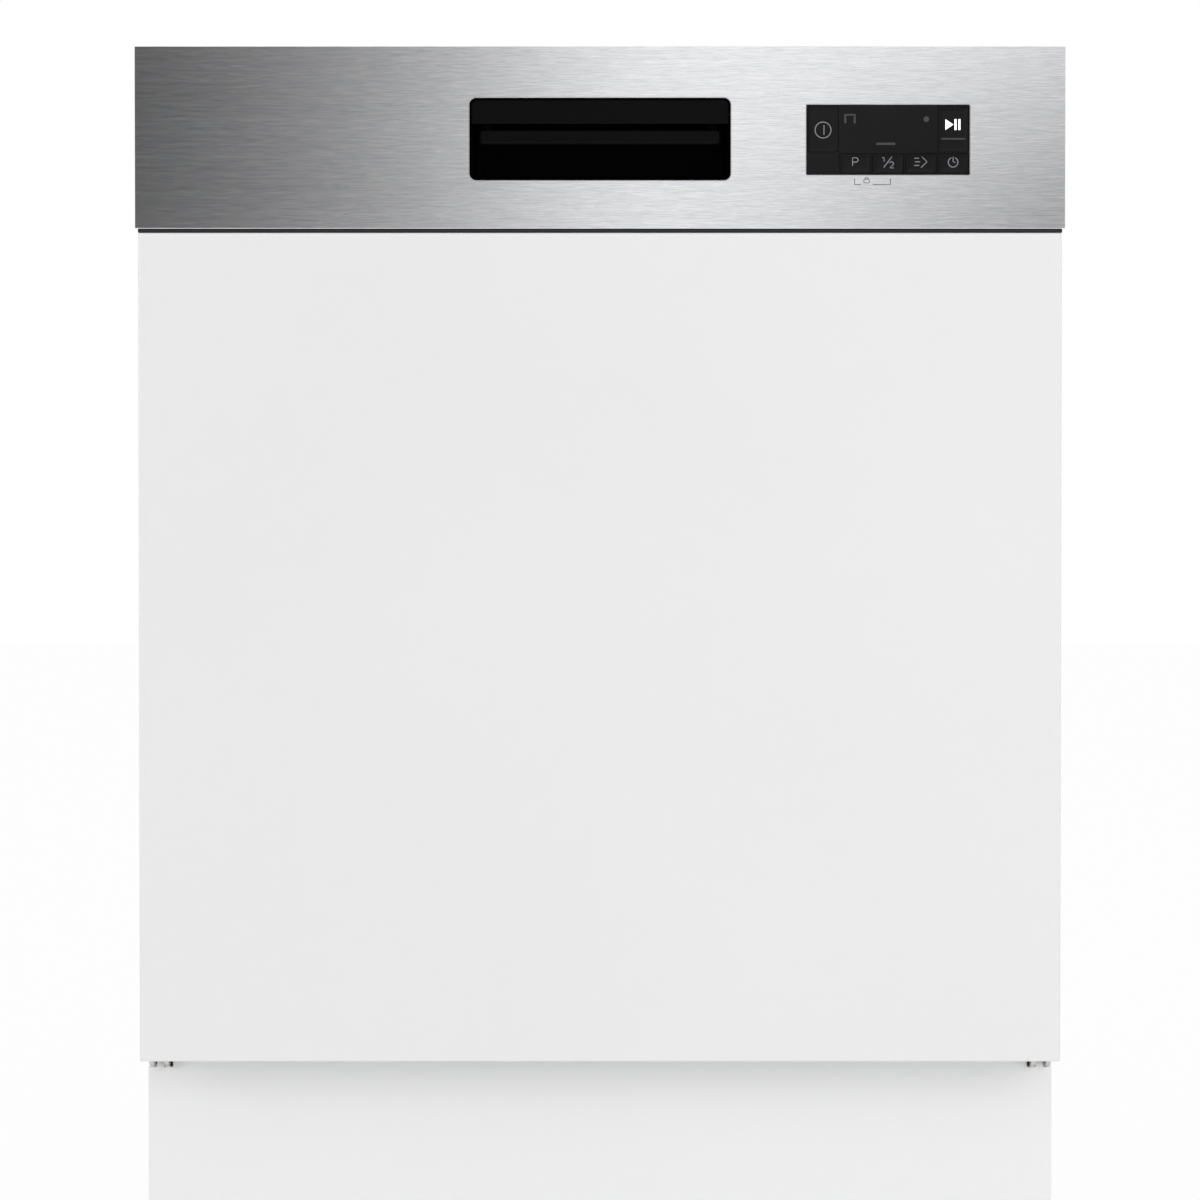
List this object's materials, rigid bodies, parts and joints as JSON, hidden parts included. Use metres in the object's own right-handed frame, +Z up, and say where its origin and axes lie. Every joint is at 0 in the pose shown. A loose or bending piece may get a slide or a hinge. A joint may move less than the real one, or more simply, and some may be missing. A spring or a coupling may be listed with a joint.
{
  "type": "built-in dishwasher",
  "caption": "Built-in dishwasher with steel control fascia, white decor door, fold-down door, pull-out racks, spray arms, dispenser and levelling feet.",
  "frame": {"origin": "floor level, in the middle of the machine's outline, with the feet screwed in", "axes": "+Z up, -Y towards someone facing the door, +X to their right"},
  "size_m": [0.598, 0.57, 0.82],
  "materials": {
    "fascia_steel": "fine horizontal brushing",
    "decor_white": "white lacquered board, satin",
    "plinth_white": "white lacquered board, satin",
    "galvanised": "galvanised sheet with a light spangle",
    "tub_steel": "satin stainless",
    "black_plastic": "fine grained black",
    "gloss_black": "polished black",
    "grey_plastic": "moulded grey",
    "pale_plastic": "moulded pale grey",
    "tray_plastic": "moulded charcoal",
    "blue_plastic": "moulded blue",
    "seal_rubber": "matt",
    "bitumen_felt": "pressed felt",
    "rack_grey": "nylon coated wire",
    "zinc_steel": "bright zinc",
    "board_green": "circuit board"
  },
  "bodies": {
    "machine": {"base_tray": "tray_plastic", "side_panel_left": "galvanised", "side_panel_right": "galvanised", "rear_panel": "galvanised", "insulation_mats": "bitumen_felt", "front_crossbar": "galvanised", "casing_screws": "zinc_steel", "plinth_panel": "plinth_white", "tub_wrap": "tub_steel", "tub_back": "tub_steel", "tub_floor": "tub_steel", "tub_seal": "seal_rubber", "rail_channels": "tub_steel", "sump": "grey_plastic", "circulation_pump": "black_plastic", "drain_pump": "black_plastic", "water_inlet_valve": "pale_plastic", "salt_container": "grey_plastic", "flat_filter": "tub_steel", "riser_pipe": "grey_plastic", "hinge_brackets": "zinc_steel", "hinge_springs": "zinc_steel"},
    "door": {"decor_door_panel": "decor_white", "door_outer_panel": "galvanised", "door_inner_panel": "tub_steel", "hinge_arms": "zinc_steel", "control_fascia": "fascia_steel", "control_housing": "black_plastic", "handle_pocket": "black_plastic", "door_latch": "grey_plastic", "display_bezel": "gloss_black", "control_board": "board_green", "dispenser_body": "grey_plastic"},
    "upper_rack": {"upper_rack": "rack_grey"},
    "lower_rack": {"lower_rack": "rack_grey", "cutlery_basket": "grey_plastic"},
    "rail_slides": {"rail_slides": "tub_steel"},
    "salt_cap": {"salt_cap": "grey_plastic"},
    "filter_cup": {"filter_cup": "grey_plastic"},
    "lower_spray_arm": {"lower_spray_arm": "grey_plastic"},
    "upper_spray_arm": {"upper_spray_arm": "grey_plastic"},
    "release_lever": {"release_lever": "gloss_black"},
    "dispenser_lid": {"dispenser_lid": "pale_plastic"},
    "rinse_aid_cap": {"rinse_aid_cap": "blue_plastic"},
    "cup_shelf": {"cup_shelf": "rack_grey"},
    "folding_tines": {"folding_tines": "rack_grey"},
    "wheel_front_left": {"wheel_front_left": "pale_plastic"},
    "wheel_front_right": {"wheel_front_right": "pale_plastic"},
    "wheel_rear_left": {"wheel_rear_left": "pale_plastic"},
    "wheel_rear_right": {"wheel_rear_right": "pale_plastic"},
    "foot_front_left": {"foot_front_left": "black_plastic"},
    "foot_front_right": {"foot_front_right": "black_plastic"},
    "foot_rear_left": {"foot_rear_left": "black_plastic"},
    "foot_rear_right": {"foot_rear_right": "black_plastic"},
    "power_key": {"power_key": "gloss_black"},
    "start_key": {"start_key": "gloss_black"},
    "program_key": {"program_key": "gloss_black"},
    "half_load_key": {"half_load_key": "gloss_black"},
    "fast_key": {"fast_key": "gloss_black"},
    "delay_key": {"delay_key": "gloss_black"}
  },
  "joints": [
    {"name": "door_hinge", "type": "hinge", "parent": "machine", "child": "door", "pos_m": [0, -0.235, 0.16], "axis": [1, 0, 0], "range_deg": [0, 90], "stiffness_Nm_per_rad": 25},
    {"name": "upper_rack_slide", "type": "slide", "parent": "machine", "child": "upper_rack", "axis": [0, -1, 0], "range_m": [0, 0.4]},
    {"name": "rail_slides_slide", "type": "slide", "parent": "machine", "child": "rail_slides", "axis": [0, -1, 0], "range_m": [0, 0.2]},
    {"name": "lower_rack_slide", "type": "slide", "parent": "machine", "child": "lower_rack", "axis": [0, -1, 0], "range_m": [0, 0.15]},
    {"name": "wheel_front_left_spin", "type": "hinge", "parent": "lower_rack", "child": "wheel_front_left", "pos_m": [-0.25, -0.045, 0.2063], "axis": [1, 0, 0], "range_deg": [0, 478]},
    {"name": "wheel_front_right_spin", "type": "hinge", "parent": "lower_rack", "child": "wheel_front_right", "pos_m": [0.25, -0.045, 0.2063], "axis": [1, 0, 0], "range_deg": [0, 478]},
    {"name": "wheel_rear_left_spin", "type": "hinge", "parent": "lower_rack", "child": "wheel_rear_left", "pos_m": [-0.25, 0.19, 0.2063], "axis": [1, 0, 0], "range_deg": [0, 478]},
    {"name": "wheel_rear_right_spin", "type": "hinge", "parent": "lower_rack", "child": "wheel_rear_right", "pos_m": [0.25, 0.19, 0.2063], "axis": [1, 0, 0], "range_deg": [0, 478]},
    {"name": "cup_shelf_fold", "type": "hinge", "parent": "upper_rack", "child": "cup_shelf", "pos_m": [-0.221, 0.005, 0.575], "axis": [0, -1, 0], "range_deg": [0, 85]},
    {"name": "tine_fold", "type": "hinge", "parent": "lower_rack", "child": "folding_tines", "pos_m": [0.0525, 0.07, 0.232], "axis": [1, 0, 0], "range_deg": [0, 85]},
    {"name": "lower_arm_spin", "type": "hinge", "parent": "machine", "child": "lower_spray_arm", "pos_m": [0, 0.015, 0.197], "axis": [0, 0, 1], "continuous": true},
    {"name": "upper_arm_spin", "type": "hinge", "parent": "upper_rack", "child": "upper_spray_arm", "pos_m": [0, 0.015, 0.474], "axis": [0, 0, 1], "continuous": true},
    {"name": "filter_cup_twist", "type": "hinge", "parent": "machine", "child": "filter_cup", "pos_m": [0.09, -0.07, 0.15], "axis": [0, 0, 1], "range_deg": [0, 90]},
    {"name": "salt_cap_twist", "type": "hinge", "parent": "machine", "child": "salt_cap", "pos_m": [-0.15, -0.06, 0.168], "axis": [0, 0, 1], "range_deg": [0, 180]},
    {"name": "release_lever_pull", "type": "hinge", "parent": "door", "child": "release_lever", "pos_m": [0, -0.262, 0.774], "axis": [-1, 0, 0], "range_deg": [0, 10], "stiffness_Nm_per_rad": 0.5, "springref_deg": -20.05},
    {"name": "power_key_press", "type": "slide", "parent": "door", "child": "power_key", "axis": [0, 1, 0], "range_m": [0, 0.0012], "stiffness_N_per_m": 400, "springref_m": -0.003},
    {"name": "start_key_press", "type": "slide", "parent": "door", "child": "start_key", "axis": [0, 1, 0], "range_m": [0, 0.0012], "stiffness_N_per_m": 400, "springref_m": -0.003},
    {"name": "program_key_press", "type": "slide", "parent": "door", "child": "program_key", "axis": [0, 1, 0], "range_m": [0, 0.0012], "stiffness_N_per_m": 400, "springref_m": -0.003},
    {"name": "half_load_key_press", "type": "slide", "parent": "door", "child": "half_load_key", "axis": [0, 1, 0], "range_m": [0, 0.0012], "stiffness_N_per_m": 400, "springref_m": -0.003},
    {"name": "fast_key_press", "type": "slide", "parent": "door", "child": "fast_key", "axis": [0, 1, 0], "range_m": [0, 0.0012], "stiffness_N_per_m": 400, "springref_m": -0.003},
    {"name": "delay_key_press", "type": "slide", "parent": "door", "child": "delay_key", "axis": [0, 1, 0], "range_m": [0, 0.0012], "stiffness_N_per_m": 400, "springref_m": -0.003},
    {"name": "dispenser_lid_slide", "type": "slide", "parent": "door", "child": "dispenser_lid", "axis": [1, 0, 0], "range_m": [0, 0.062]},
    {"name": "rinse_cap_twist", "type": "hinge", "parent": "door", "child": "rinse_aid_cap", "pos_m": [0.106, -0.204, 0.501], "axis": [0, 1, 0], "range_deg": [0, 90]},
    {"name": "foot_front_left_screw", "type": "slide", "parent": "machine", "child": "foot_front_left", "axis": [0, 0, -1], "range_m": [0, 0.05]},
    {"name": "foot_front_right_screw", "type": "slide", "parent": "machine", "child": "foot_front_right", "axis": [0, 0, -1], "range_m": [0, 0.05]},
    {"name": "foot_rear_left_screw", "type": "slide", "parent": "machine", "child": "foot_rear_left", "axis": [0, 0, -1], "range_m": [0, 0.05]},
    {"name": "foot_rear_right_screw", "type": "slide", "parent": "machine", "child": "foot_rear_right", "axis": [0, 0, -1], "range_m": [0, 0.05]}
  ],
  "couplings": [
    {"joint": "upper_rack_slide", "follows": "door_hinge", "m_per_rad": 0.25465},
    {"joint": "rail_slides_slide", "follows": "door_hinge", "m_per_rad": 0.12732},
    {"joint": "lower_rack_slide", "follows": "door_hinge", "m_per_rad": 0.095492},
    {"joint": "wheel_front_left_spin", "follows": "door_hinge", "ratio": 5.3052},
    {"joint": "wheel_front_right_spin", "follows": "door_hinge", "ratio": 5.3052},
    {"joint": "wheel_rear_left_spin", "follows": "door_hinge", "ratio": 5.3052},
    {"joint": "wheel_rear_right_spin", "follows": "door_hinge", "ratio": 5.3052}
  ]
}
